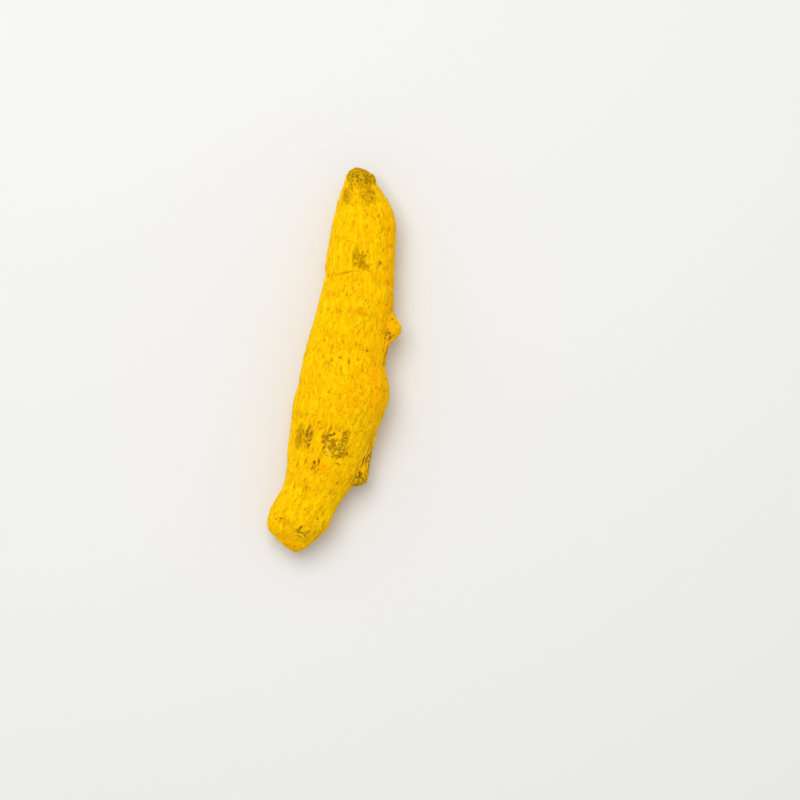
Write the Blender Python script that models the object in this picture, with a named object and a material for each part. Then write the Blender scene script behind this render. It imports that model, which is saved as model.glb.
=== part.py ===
"""A dried turmeric root: one thick finger of rhizome, grown as one piece, lying on its side.

Metres, +Z up. The root lies along Y, its growing tip at +Y and its blunt foot at -Y, and it bows towards +X.
The origin is on the surface that the root lies on, under the middle of its bounding box.
Angles go round the root: 0 is towards +X, 90 is on top and 270 is underneath.
"""

import math

import bmesh
import bpy
import numpy as np
from mathutils import Vector, noise

NODE_NAME = "turmeric_root"
MM = 0.001

# Driving dimensions. The width and depth are the greatest ones, without the buds.
ROOT_LENGTH = 81.8 * MM
ROOT_WIDTH = 19.1 * MM
ROOT_DEPTH = 16.8 * MM
SIDE_SHIFT = -4.20 * MM  # brings the middle of the bounding box over the origin

# The mesh: cross sections from foot to tip, and points round each one.
SECTIONS = 104
POINTS_ROUND = 48

# One row for each station, from foot to tip: its share of the root's length, then the bow to the side and
# the half width as shares of the width, and the half depth and the centre's height as shares of the depth.
STATIONS = (
    (0.000, 0.021, 0.000, 0.000, 0.357),
    (0.010, 0.017, 0.110, 0.131, 0.357),
    (0.029, -0.011, 0.205, 0.220, 0.360),
    (0.047, -0.023, 0.281, 0.280, 0.366),
    (0.075, 0.008, 0.337, 0.333, 0.381),
    (0.110, 0.037, 0.335, 0.345, 0.375),
    (0.157, 0.110, 0.336, 0.357, 0.369),
    (0.206, 0.168, 0.382, 0.393, 0.390),
    (0.255, 0.182, 0.418, 0.429, 0.412),
    (0.304, 0.200, 0.445, 0.458, 0.434),
    (0.353, 0.224, 0.484, 0.482, 0.458),
    (0.402, 0.247, 0.500, 0.500, 0.475),
    (0.440, 0.259, 0.499, 0.499, 0.474),
    (0.475, 0.229, 0.477, 0.486, 0.463),
    (0.510, 0.206, 0.451, 0.467, 0.446),
    (0.560, 0.220, 0.442, 0.449, 0.433),
    (0.605, 0.231, 0.424, 0.441, 0.428),
    (0.650, 0.243, 0.405, 0.431, 0.423),
    (0.700, 0.234, 0.375, 0.417, 0.417),
    (0.745, 0.207, 0.375, 0.408, 0.417),
    (0.794, 0.191, 0.367, 0.399, 0.420),
    (0.843, 0.177, 0.349, 0.381, 0.422),
    (0.880, 0.169, 0.328, 0.357, 0.419),
    (0.916, 0.136, 0.279, 0.315, 0.412),
    (0.941, 0.106, 0.240, 0.264, 0.406),
    (0.965, 0.059, 0.173, 0.200, 0.400),
    (0.985, 0.049, 0.134, 0.131, 0.396),
    (1.000, 0.005, 0.000, 0.000, 0.394),
)

# Leaf-scar rings: share of the length, depth of the groove, lean from side to side, and the angle it leans to.
RINGS = (
    (0.088, 0.10 * MM, 0.9 * MM, 40),
    (0.166, 0.14 * MM, 0.8 * MM, 200),
    (0.262, 0.11 * MM, 1.1 * MM, 320),
    (0.349, 0.12 * MM, 0.9 * MM, 110),
    (0.437, 0.15 * MM, 1.2 * MM, 15),
    (0.545, 0.13 * MM, 1.0 * MM, 250),
    (0.628, 0.14 * MM, 0.9 * MM, 350),
    (0.714, 0.22 * MM, 0.7 * MM, 170),
    (0.812, 0.12 * MM, 0.9 * MM, 60),
    (0.885, 0.13 * MM, 0.7 * MM, 290),
    (0.944, 0.14 * MM, 0.6 * MM, 190),
)
RING_GROOVE_WIDTH = 0.80 * MM
RING_RIDGE_HEIGHT = 0.7  # the ridge beside a groove, as a share of the groove's depth
RING_RIDGE_OFFSET = 1.5  # how far the ridge is from the groove, in groove widths
RING_FADE = 0.45  # how much a ring fades out and in again on its way round
RING_RIPPLE = 0.17  # a ring's three small waves, as a share of its lean

# Buds that stand out: share of the length, angle, height, reach towards the tip, reach towards the foot and
# reach to each side.
BUDS = (
    (0.606, 4, 2.30 * MM, 3.85 * MM, 3.8 * MM, 3.5 * MM),
    (0.398, 232, 1.10 * MM, 3.4 * MM, 3.0 * MM, 3.2 * MM),
    (0.862, 222, 0.70 * MM, 2.6 * MM, 2.2 * MM, 2.6 * MM),
    (0.052, 62, 0.55 * MM, 2.0 * MM, 2.0 * MM, 2.4 * MM),
    (0.092, 28, 0.45 * MM, 2.6 * MM, 2.2 * MM, 2.2 * MM),
)

# The stub of a side shoot that lay along the root and broke off: a wedge that thickens towards the foot and
# ends there in a blunt face.
STUB_START_SHARE = 0.345
STUB_END_SHARE = 0.200
STUB_BLUNT_LENGTH = 2.3 * MM
STUB_HEIGHT = 2.35 * MM
STUB_ANGLE = -4
STUB_HALF_WIDTH = 3.3 * MM
STUB_START_WIDTH = 0.45  # its width where it starts, as a share of its width at the blunt face
STUB_RISE_POWER = 0.8
STUB_CROWN_POWERS = (2.6, 1.3)  # flat across its back, with steep sides

# Shallow dishes where old skin is left: share of the length, angle, depth, half length and half width.
SKIN_DISHES = (
    (0.292, 128, 0.24 * MM, 3.4 * MM, 2.1 * MM),
    (0.296, 78, 0.28 * MM, 3.8 * MM, 3.4 * MM),
    (0.768, 93, 0.16 * MM, 1.9 * MM, 1.4 * MM),
    (0.630, 262, 0.32 * MM, 3.2 * MM, 3.0 * MM),
    (0.205, 300, 0.26 * MM, 2.8 * MM, 2.4 * MM),
    (0.510, 176, 0.20 * MM, 2.6 * MM, 1.8 * MM),
)

# Lumps, and lengthwise wrinkles, of the dried flesh.
LUMP_HEIGHT = 0.32 * MM
LUMP_SIZE = 11 * MM
WRINKLE_HEIGHT = 0.20 * MM
WRINKLE_WIDTH = 3.0 * MM
WRINKLE_STRETCH = 5.0
NOISE_OFFSET = Vector((3.7, 1.3, 8.1))

RIND_COLOUR = (0.86, 0.47, 0.006, 1.0)
RIND_ROUGHNESS = 0.86


def clear_scene():
    """Removes whatever the scene holds."""
    for obj in list(bpy.data.objects):
        bpy.data.objects.remove(obj, do_unlink=True)


def station_curve(samples):
    """The stations joined by one smooth curve: an array of a row for each sample, and its arc length.

    The curve crosses the axis squarely at both ends, so that the foot and the tip close round.
    """
    scale = (ROOT_LENGTH, ROOT_WIDTH, ROOT_WIDTH, ROOT_DEPTH, ROOT_DEPTH)
    rows = np.array(STATIONS) * scale
    rows[:, 1] += SIDE_SHIFT
    mirrored = np.array((1, 1, -1, -1, 1))
    rows = np.vstack((rows[1] * mirrored, rows, rows[-2] * mirrored))
    steps = np.hypot(np.diff(rows[:, 0]), np.diff(rows[:, 2]))
    knots = np.concatenate(((0.0,), np.cumsum(steps)))
    slopes = (rows[2:] - rows[:-2]) / (knots[2:] - knots[:-2])[:, None]
    knots, rows = knots[1:-1], rows[1:-1]
    places = np.linspace(knots[0], knots[-1], samples)
    left = np.clip(np.searchsorted(knots, places, side="right") - 1, 0, len(knots) - 2)
    gap = (knots[left + 1] - knots[left])[:, None]
    t = (places - knots[left])[:, None] / gap
    curve = (
        (2 * t**3 - 3 * t**2 + 1) * rows[left]
        + (t**3 - 2 * t**2 + t) * gap * slopes[left]
        + (3 * t**2 - 2 * t**3) * rows[left + 1]
        + (t**3 - t**2) * gap * slopes[left + 1]
    )
    curve[0], curve[-1] = rows[0], rows[-1]
    return curve, places - places[0]


def angle_from(angles, degrees):
    """How far each angle is from a direction, in radians from -pi to pi."""
    return (angles - math.radians(degrees) + math.pi) % (2 * math.pi) - math.pi


def ring_relief(along, angles):
    """Each leaf scar is a groove with a low ridge on its tip side, and it wanders a little round the root."""
    height = np.zeros_like(along)
    for share, depth, lean, leans_to in RINGS:
        wander = lean * np.cos(angle_from(angles, leans_to)) / 2
        wander += lean * RING_RIPPLE * np.sin(3 * angles + leans_to)
        away = (along - share * ROOT_LENGTH - wander) / RING_GROOVE_WIDTH
        groove = np.exp(-(away**2))
        ridge = RING_RIDGE_HEIGHT * np.exp(-((away - RING_RIDGE_OFFSET) ** 2))
        fade = 1 - RING_FADE * (1 - np.sin(2 * angles + leans_to))
        height += depth * fade * (ridge - groove)
    return height


def mound(along, angles, radius, share, degrees, to_tip, to_foot, to_side):
    """A smooth hill of height 1 that reaches the given lengths from its middle."""
    ahead = along - share * ROOT_LENGTH
    reach = np.where(ahead > 0, to_tip, to_foot)
    aside = radius * angle_from(angles, degrees) / to_side
    return np.clip(1 - (ahead / reach) ** 2 - aside**2, 0, 1) ** 2


def bud_relief(along, angles, radius):
    height = np.zeros_like(along)
    for share, degrees, tall, to_tip, to_foot, to_side in BUDS:
        height += tall * mound(along, angles, radius, share, degrees, to_tip, to_foot, to_side)
    return height


def dish_relief(along, angles, radius):
    height = np.zeros_like(along)
    for share, degrees, depth, half_length, half_width in SKIN_DISHES:
        height -= depth * mound(
            along, angles, radius, share, degrees, half_length, half_length, half_width
        )
    return height


def stub_relief(along, angles, radius):
    """The broken side shoot: its back rises from nothing to a blunt end that faces the foot."""
    start = STUB_START_SHARE * ROOT_LENGTH
    end = STUB_END_SHARE * ROOT_LENGTH
    rise = np.clip((start - along) / (start - end), 0, 1)
    blunt = np.clip((along - end) / STUB_BLUNT_LENGTH + 0.5, 0, 1)
    blunt = blunt * blunt * (3 - 2 * blunt)
    half_width = STUB_HALF_WIDTH * (STUB_START_WIDTH + (1 - STUB_START_WIDTH) * rise)
    aside = np.clip(np.abs(radius * angle_from(angles, STUB_ANGLE)) / half_width, 0, 1)
    flatness, steepness = STUB_CROWN_POWERS
    crown = (1 - aside**flatness) ** steepness
    return STUB_HEIGHT * rise**STUB_RISE_POWER * blunt * crown


def flesh_relief(straight):
    """Broad lumps, and wrinkles that run along the root, read from noise in the straightened root."""
    height = np.zeros(straight.shape[:2])
    stretch = Vector((1, 1, 1 / WRINKLE_STRETCH))
    for place in np.ndindex(height.shape):
        point = Vector(straight[place])
        lump = noise.noise(point / LUMP_SIZE + NOISE_OFFSET)
        wrinkle = noise.fractal(point * stretch / WRINKLE_WIDTH + NOISE_OFFSET, 1.0, 2.0, 2)
        height[place] = LUMP_HEIGHT * lump + WRINKLE_HEIGHT * wrinkle
    return height


def surface_normals(points):
    """Outward unit normals of the grid of points, which closes on itself along its second axis."""
    up_the_root = np.gradient(points, axis=0)
    round_it = np.roll(points, -1, axis=1) - np.roll(points, 1, axis=1)
    normals = np.cross(up_the_root, round_it)
    normals[0] = (0, -1, 0)
    normals[-1] = (0, 1, 0)
    return normals / np.linalg.norm(normals, axis=2, keepdims=True)


def root_surface(sections, points_round):
    """The root's surface as a grid of points, foot to tip by round. The first and last rows are one point.

    The root is flat where it would dip under the surface that it lies on.
    """
    curve, arc = station_curve(sections + 1)
    angles = np.linspace(0, 2 * math.pi, points_round, endpoint=False)[None, :]
    along, side, half_width, half_depth, centre_height = curve.T[:, :, None]
    cos, sin = np.cos(angles), np.sin(angles)
    smooth = np.stack(
        (
            side + half_width * cos,
            along - ROOT_LENGTH / 2 + 0 * cos,
            centre_height + half_depth * sin,
        ),
        axis=2,
    )
    radius = (half_width + half_depth) / 2
    straight = np.stack((radius * cos, radius * sin, arc[:, None] + 0 * cos), axis=2)
    along = along + 0 * angles
    angles = angles + 0 * along
    height = flesh_relief(straight)
    height += ring_relief(along, angles)
    height += bud_relief(along, angles, radius)
    height += dish_relief(along, angles, radius)
    height += stub_relief(along, angles, radius)
    height[0] = height[-1] = 0
    points = smooth + height[:, :, None] * surface_normals(smooth)
    points[:, :, 2] = np.maximum(points[:, :, 2], 0)
    return points


def root_mesh():
    """One closed mesh: rings of quads, and a fan of triangles at each end."""
    points = root_surface(SECTIONS, POINTS_ROUND)
    bm = bmesh.new()
    foot = bm.verts.new(points[0, 0])
    tip = bm.verts.new(points[-1, 0])
    rings = [[bm.verts.new(point) for point in ring] for ring in points[1:-1]]
    for here in range(POINTS_ROUND):
        following = (here + 1) % POINTS_ROUND
        bm.faces.new((foot, rings[0][here], rings[0][following]))
        bm.faces.new((tip, rings[-1][following], rings[-1][here]))
        for lower, upper in zip(rings, rings[1:]):
            bm.faces.new((lower[here], upper[here], upper[following], lower[following]))
    bmesh.ops.recalc_face_normals(bm, faces=bm.faces)
    mesh = bpy.data.meshes.new(NODE_NAME)
    bm.to_mesh(mesh)
    bm.free()
    mesh.shade_smooth()
    return mesh


def rind_material():
    material = bpy.data.materials.new("turmeric_rind")
    material.use_nodes = True
    shader = material.node_tree.nodes["Principled BSDF"]
    shader.inputs["Base Color"].default_value = RIND_COLOUR
    shader.inputs["Roughness"].default_value = RIND_ROUGHNESS
    shader.inputs["Metallic"].default_value = 0.0
    return material


def build_root():
    mesh = root_mesh()
    mesh.materials.append(rind_material())
    root = bpy.data.objects.new(NODE_NAME, mesh)
    bpy.context.scene.collection.objects.link(root)
    return root


clear_scene()
build_root()
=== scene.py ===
"""The looks of the dried turmeric root: its skin, scars, flecks and powder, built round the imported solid.

Metres, +Z up. The root lies along Y with its tip at +Y and its foot at -Y, and it bows towards +X.
Angles go round the root: 0 is towards +X, 90 is on top and 270 is underneath.
A share is a place along the root, from 0 at the foot to 1 at the tip.
"""

import math

import bmesh
import bpy
import numpy as np
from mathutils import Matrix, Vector, noise


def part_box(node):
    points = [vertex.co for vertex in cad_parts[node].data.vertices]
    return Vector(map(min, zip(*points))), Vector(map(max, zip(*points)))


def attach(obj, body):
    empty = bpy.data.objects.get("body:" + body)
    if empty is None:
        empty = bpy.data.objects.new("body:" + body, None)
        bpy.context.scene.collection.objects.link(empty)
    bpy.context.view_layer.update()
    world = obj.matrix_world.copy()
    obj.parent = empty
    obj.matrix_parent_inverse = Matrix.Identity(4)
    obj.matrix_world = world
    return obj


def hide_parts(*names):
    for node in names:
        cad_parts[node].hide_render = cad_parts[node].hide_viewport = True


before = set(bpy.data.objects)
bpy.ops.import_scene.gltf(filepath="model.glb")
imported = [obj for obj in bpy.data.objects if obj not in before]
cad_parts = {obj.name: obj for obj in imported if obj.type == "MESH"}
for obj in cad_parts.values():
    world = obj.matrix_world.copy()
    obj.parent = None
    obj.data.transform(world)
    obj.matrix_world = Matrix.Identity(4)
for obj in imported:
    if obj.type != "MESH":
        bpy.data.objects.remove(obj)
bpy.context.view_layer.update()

# Driving sizes, read from the frame. The solid is 81.8 mm long, which sets the length of a millimetre here.
NODE = "turmeric_root"
LOW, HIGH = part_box(NODE)
ROOT_LENGTH = HIGH.y - LOW.y
MM = ROOT_LENGTH / 81.8
ROOT_WIDTH = 19.1 * MM
ROOT_DEPTH = 16.8 * MM
SIDE_SHIFT = -4.20 * MM  # brings the middle of the bounding box over the origin

# The skin's mesh: cross sections from foot to tip, and points round each one.
SECTIONS = 320
POINTS_ROUND = 306

# One row for each station, from foot to tip: its share of the root's length, then the bow to the side and
# the half width as shares of the width, and the half depth and the centre's height as shares of the depth.
STATIONS = (
    (0.000, 0.021, 0.000, 0.000, 0.357),
    (0.010, 0.017, 0.110, 0.131, 0.357),
    (0.029, -0.011, 0.205, 0.220, 0.360),
    (0.047, -0.023, 0.281, 0.280, 0.366),
    (0.075, 0.008, 0.337, 0.333, 0.381),
    (0.110, 0.037, 0.335, 0.345, 0.375),
    (0.157, 0.110, 0.336, 0.357, 0.369),
    (0.206, 0.168, 0.382, 0.393, 0.390),
    (0.255, 0.182, 0.418, 0.429, 0.412),
    (0.304, 0.200, 0.445, 0.458, 0.434),
    (0.353, 0.224, 0.484, 0.482, 0.458),
    (0.402, 0.247, 0.500, 0.500, 0.475),
    (0.440, 0.259, 0.499, 0.499, 0.474),
    (0.475, 0.229, 0.477, 0.486, 0.463),
    (0.510, 0.206, 0.451, 0.467, 0.446),
    (0.560, 0.220, 0.442, 0.449, 0.433),
    (0.605, 0.231, 0.424, 0.441, 0.428),
    (0.650, 0.243, 0.405, 0.431, 0.423),
    (0.700, 0.234, 0.375, 0.417, 0.417),
    (0.745, 0.207, 0.375, 0.408, 0.417),
    (0.794, 0.191, 0.367, 0.399, 0.420),
    (0.843, 0.177, 0.349, 0.381, 0.422),
    (0.880, 0.169, 0.328, 0.357, 0.419),
    (0.916, 0.136, 0.279, 0.315, 0.412),
    (0.941, 0.106, 0.240, 0.264, 0.406),
    (0.965, 0.059, 0.173, 0.200, 0.400),
    (0.985, 0.049, 0.134, 0.131, 0.396),
    (1.000, 0.005, 0.000, 0.000, 0.394),
)

# Leaf-scar rings: share of the length, depth of the groove, lean from side to side, and the angle it leans to.
RINGS = (
    (0.088, 0.10 * MM, 0.9 * MM, 40),
    (0.166, 0.14 * MM, 0.8 * MM, 200),
    (0.262, 0.11 * MM, 1.1 * MM, 320),
    (0.349, 0.12 * MM, 0.9 * MM, 110),
    (0.437, 0.15 * MM, 1.2 * MM, 15),
    (0.545, 0.13 * MM, 1.0 * MM, 250),
    (0.628, 0.14 * MM, 0.9 * MM, 350),
    (0.714, 0.22 * MM, 0.7 * MM, 170),
    (0.812, 0.12 * MM, 0.9 * MM, 60),
    (0.885, 0.13 * MM, 0.7 * MM, 290),
    (0.944, 0.14 * MM, 0.6 * MM, 190),
)
RING_GROOVE_WIDTH = 0.80 * MM
RING_RIDGE_HEIGHT = 0.7  # the ridge beside a groove, as a share of the groove's depth
RING_RIDGE_OFFSET = 1.5  # how far the ridge is from the groove, in groove widths
RING_FADE = 0.45  # how much a ring fades out and in again on its way round
RING_RIPPLE = 0.17  # a ring's three small waves, as a share of its lean
RING_REACH = 0.50 * MM  # how far from a groove more flecks gather
RING_LINE_WIDTH = 0.22 * MM
RING_LINE_DARKNESS = 0.34

# Buds that stand out: share of the length, angle, height, reach towards the tip, reach towards the foot and
# reach to each side.
BUDS = (
    (0.606, 4, 2.30 * MM, 3.85 * MM, 3.8 * MM, 3.5 * MM),
    (0.398, 232, 1.10 * MM, 3.4 * MM, 3.0 * MM, 3.2 * MM),
    (0.862, 222, 0.70 * MM, 2.6 * MM, 2.2 * MM, 2.6 * MM),
    (0.052, 62, 0.55 * MM, 2.0 * MM, 2.0 * MM, 2.4 * MM),
    (0.092, 28, 0.45 * MM, 2.6 * MM, 2.2 * MM, 2.2 * MM),
)

# The stub of a side shoot that lay along the root and broke off: a wedge that thickens towards the foot and
# ends there in a blunt face.
STUB_START_SHARE = 0.345
STUB_END_SHARE = 0.200
STUB_BLUNT_LENGTH = 2.3 * MM
STUB_HEIGHT = 2.35 * MM
STUB_ANGLE = -4
STUB_HALF_WIDTH = 3.3 * MM
STUB_START_WIDTH = 0.45  # its width where it starts, as a share of its width at the blunt face
STUB_RISE_POWER = 0.8
STUB_CROWN_POWERS = (2.6, 1.3)  # flat across its back, with steep sides

# Shallow dishes where old skin is left: share of the length, angle, depth, half length and half width.
SKIN_DISHES = (
    (0.292, 128, 0.24 * MM, 3.4 * MM, 2.1 * MM),
    (0.296, 78, 0.28 * MM, 3.8 * MM, 3.4 * MM),
    (0.768, 93, 0.16 * MM, 1.9 * MM, 1.4 * MM),
    (0.630, 262, 0.32 * MM, 3.2 * MM, 3.0 * MM),
    (0.205, 300, 0.26 * MM, 2.8 * MM, 2.4 * MM),
    (0.510, 176, 0.20 * MM, 2.6 * MM, 1.8 * MM),
)

# Lumps, and lengthwise wrinkles, of the dried flesh.
LUMP_HEIGHT = 0.32 * MM
LUMP_SIZE = 11 * MM
WRINKLE_HEIGHT = 0.20 * MM
WRINKLE_WIDTH = 3.0 * MM
WRINKLE_STRETCH = 5.0
NOISE_OFFSET = Vector((3.7, 1.3, 8.1))

# Creases with a raised lip, each a path of places (share, angle), then its depth, its width and how far it
# darkens the skin. That darkening is partly brown in the crack and partly painted shade in the groove.
CREASES = (
    (((0.585, 29), (0.573, 28), (0.557, 28), (0.544, 24)), 0.22 * MM, 0.20 * MM, 0.60),
    (((0.596, 19), (0.585, 18), (0.574, 14), (0.563, 9)), 0.26 * MM, 0.24 * MM, 0.60),
    (((0.322, 7), (0.302, 9), (0.286, 11), (0.264, 13), (0.240, 15)), 0.36 * MM, 0.42 * MM, 1.00),
    (((0.262, 13), (0.240, 16), (0.212, 14)), 0.26 * MM, 0.24 * MM, 0.50),
    (((0.300, 1), (0.276, 5), (0.250, 9)), 0.26 * MM, 0.32 * MM, 0.85),
    (((0.556, 73), (0.544, 61), (0.531, 50), (0.517, 37), (0.505, 14)), 0.07 * MM, 0.32 * MM, 0.15),
    (((0.553, 162), (0.537, 157), (0.522, 153), (0.511, 151)), 0.16 * MM, 0.24 * MM, 0.45),
    (((0.402, 30), (0.384, 38), (0.362, 40)), 0.09 * MM, 0.24 * MM, 0.25),
    (((0.640, 205), (0.585, 211), (0.540, 208)), 0.16 * MM, 0.28 * MM, 0.35),
    (((0.470, 318), (0.415, 325), (0.372, 319)), 0.18 * MM, 0.30 * MM, 0.35),
    (((0.870, 330), (0.826, 336), (0.790, 331)), 0.15 * MM, 0.26 * MM, 0.35),
)
RING_LINE = ((0.713, 160), (0.716, 141), (0.719, 126), (0.727, 111), (0.734, 99), (0.738, 84), (0.739, 66))
CREASES += ((RING_LINE, 0.12 * MM, 0.28 * MM, 0.54),)
CREASE_LIP_HEIGHT = 0.45  # as a share of the crease's depth
CREASE_LIP_OFFSET = 1.7  # in crease widths
CREASE_WANDER = 0.30 * MM
CREASE_WANDER_SIZE = 0.9 * MM

# In the tables of marks and patches each row is a share, an angle, a half length and a half width in
# millimetres, and a strength.
#
# Dark marks, from the foot to the tip: pits, holes of rootlets and short brown streaks, whose darkest brown is partly
# painted shade in the hollows, and two broad soft spots of painted shade, on the stub's blunt end and on top of the
# tip.
FOOT_MARKS = (
    (0.029, 51, 0.25, 0.30, 0.53), (0.054, 75, 0.30, 0.25, 0.53), (0.060, 25, 0.20, 0.25, 0.53),
    (0.062, 62, 0.40, 0.25, 0.53), (0.065, 80, 0.45, 0.20, 0.83), (0.075, 135, 0.25, 0.30, 0.73),
    (0.080, 124, 0.20, 0.55, 0.68), (0.088, 145, 0.25, 0.30, 0.63), (0.095, 54, 0.40, 0.25, 0.63),
    (0.109, 77, 0.25, 0.30, 0.53), (0.149, 150, 0.40, 0.25, 0.53), (0.166, 104, 0.55, 0.25, 0.53),
    (0.166, 130, 0.60, 0.20, 0.63), (0.193, 54, 0.40, 0.30, 0.63), (0.196, 68, 0.20, 0.35, 0.53),
)
STREAKS_BELOW_THE_SCARS = (
    (0.212, 99, 0.25, 0.25, 0.61), (0.220, 106, 0.65, 0.15, 0.71), (0.224, 102, 0.65, 0.15, 0.61),
    (0.224, 134, 0.60, 0.20, 0.66), (0.236, 104, 0.40, 0.30, 0.86), (0.239, 97, 0.85, 0.20, 0.76),
    (0.236, 118, 0.60, 0.20, 0.71), (0.242, 68, 0.20, 0.45, 0.71), (0.261, 67, 0.35, 0.40, 0.61),
    (0.270, 58, 0.40, 0.40, 0.76), (0.276, 85, 0.15, 0.30, 0.71),
)
LEFT_SCAR_PITS = (
    (0.270, 118, 0.15, 0.35, 0.62), (0.277, 118, 0.25, 0.35, 0.82), (0.290, 119, 0.20, 0.50, 1.00),
    (0.300, 125, 0.30, 0.40, 0.92), (0.311, 126, 0.40, 0.25, 0.82), (0.309, 116, 0.85, 0.35, 0.57),
    (0.320, 123, 0.30, 0.30, 0.62),
)
RIGHT_SCAR_PITS = (
    (0.279, 87, 0.25, 0.20, 0.78), (0.291, 96, 0.40, 0.50, 0.73), (0.302, 68, 0.20, 0.50, 0.68),
    (0.299, 77, 0.30, 0.40, 0.48), (0.299, 93, 0.30, 0.40, 0.48), (0.311, 89, 0.20, 0.45, 0.93),
    (0.315, 85, 0.30, 0.20, 1.00), (0.321, 71, 0.35, 0.35, 0.58), (0.327, 79, 0.30, 0.30, 0.48),
    (0.326, 92, 0.75, 0.25, 0.68), (0.324, 103, 0.25, 0.25, 0.58), (0.330, 62, 0.35, 0.20, 0.58),
)
STUB_PITS_AND_END_SHADE = (
    # Painted shade: the first row, a broad soft dark spot on the stub's blunt end, which faces the foot.
    (0.203, 4, 1.00, 2.20, 0.34),
    (0.226, 15, 0.60, 0.35, 0.90), (0.236, 21, 0.30, 0.20, 0.50), (0.255, 14, 0.65, 0.20, 0.50),
)
MIDDLE_MARKS = (
    (0.353, 50, 0.85, 0.15, 0.40), (0.361, 40, 0.20, 0.25, 0.50), (0.371, 52, 0.55, 0.15, 0.40),
    (0.351, 129, 0.20, 0.20, 0.50), (0.380, 54, 0.35, 0.20, 0.50), (0.390, 77, 0.25, 0.25, 0.50),
    (0.419, 107, 0.30, 0.25, 0.65), (0.425, 86, 0.20, 0.20, 0.50), (0.457, 43, 0.65, 0.20, 0.40),
    (0.457, 123, 0.20, 0.25, 0.50), (0.505, 82, 0.80, 0.25, 0.65), (0.501, 107, 0.55, 0.20, 0.60),
    (0.513, 69, 0.35, 0.25, 0.60), (0.511, 95, 0.25, 0.40, 0.75), (0.524, 51, 0.20, 0.25, 0.55),
    (0.539, 58, 0.30, 0.30, 0.70), (0.536, 93, 0.25, 0.15, 0.50), (0.548, 95, 0.35, 0.20, 0.45),
)
NUB_PITS = (
    (0.573, 27, 1.05, 0.15, 0.45), (0.580, 16, 0.35, 0.30, 0.95), (0.594, 23, 0.25, 0.20, 0.60),
    (0.631, 17, 0.25, 0.20, 0.75),
)
UPPER_MARKS = (
    (0.628, 135, 0.50, 0.15, 0.45), (0.632, 120, 0.40, 0.20, 0.50), (0.679, 115, 0.40, 0.25, 0.50),
    (0.694, 113, 0.25, 0.45, 0.50), (0.757, 71, 0.35, 0.15, 0.55), (0.766, 52, 0.40, 0.25, 0.82),
    (0.751, 80, 0.22, 0.90, 0.64), (0.758, 85, 0.55, 0.22, 0.64), (0.775, 98, 0.70, 0.40, 0.35),
    (0.762, 132, 0.40, 0.20, 0.45), (0.785, 87, 0.20, 0.20, 0.84), (0.789, 78, 0.30, 0.15, 0.72),
    (0.890, 70, 0.65, 0.20, 0.35), (0.909, 142, 0.25, 0.20, 0.55), (0.923, 55, 0.25, 0.30, 0.60),
    (0.925, 82, 0.20, 0.55, 0.40), (0.920, 139, 0.40, 0.40, 0.60), (0.933, 99, 0.30, 0.20, 0.45),
)
RING_DASHES = (
    (0.713, 158, 0.55, 0.15, 0.65), (0.716, 141, 0.20, 0.30, 0.35), (0.717, 130, 0.20, 0.35, 0.40),
    (0.724, 120, 0.20, 0.40, 0.40), (0.727, 111, 0.20, 0.30, 0.55), (0.734, 100, 0.15, 0.40, 0.35),
    (0.737, 84, 0.25, 0.15, 0.45),
)
CAP_PITS_AND_TIP_SHADE = (
    (0.946, 72, 0.20, 0.55, 0.52), (0.953, 126, 0.20, 0.25, 0.62), (0.962, 102, 0.20, 0.15, 0.67),
    (0.966, 90, 0.25, 0.15, 0.62), (0.969, 68, 0.40, 0.25, 0.72), (0.971, 117, 0.20, 0.20, 0.52),
    # Painted shade: the last row, a broad soft dark spot on top of the tip, where the tip curves away from the light.
    (0.980, 58, 0.30, 0.20, 0.62), (0.988, 95, 0.80, 2.20, 0.28),
)
UNDERSIDE_PITS = (
    (0.635, 262, 0.70, 0.50, 0.95), (0.206, 298, 0.60, 0.45, 0.90),
)
DARK_MARKS = (
    *FOOT_MARKS, *STREAKS_BELOW_THE_SCARS, *LEFT_SCAR_PITS, *RIGHT_SCAR_PITS, *STUB_PITS_AND_END_SHADE, *MIDDLE_MARKS,
    *NUB_PITS, *UPPER_MARKS, *RING_DASHES, *CAP_PITS_AND_TIP_SHADE, *UNDERSIDE_PITS,
)
PIT_DEPTH = 0.15 * MM  # of a mark of strength 1
BLOT_SPREAD = 0.06 * MM

# The hidden sides have marks too, drawn at random between two angles.
HIDDEN_MARKS = 70
HIDDEN_FROM, HIDDEN_TO = 170, 370
MARKS_SEED = 7

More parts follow.
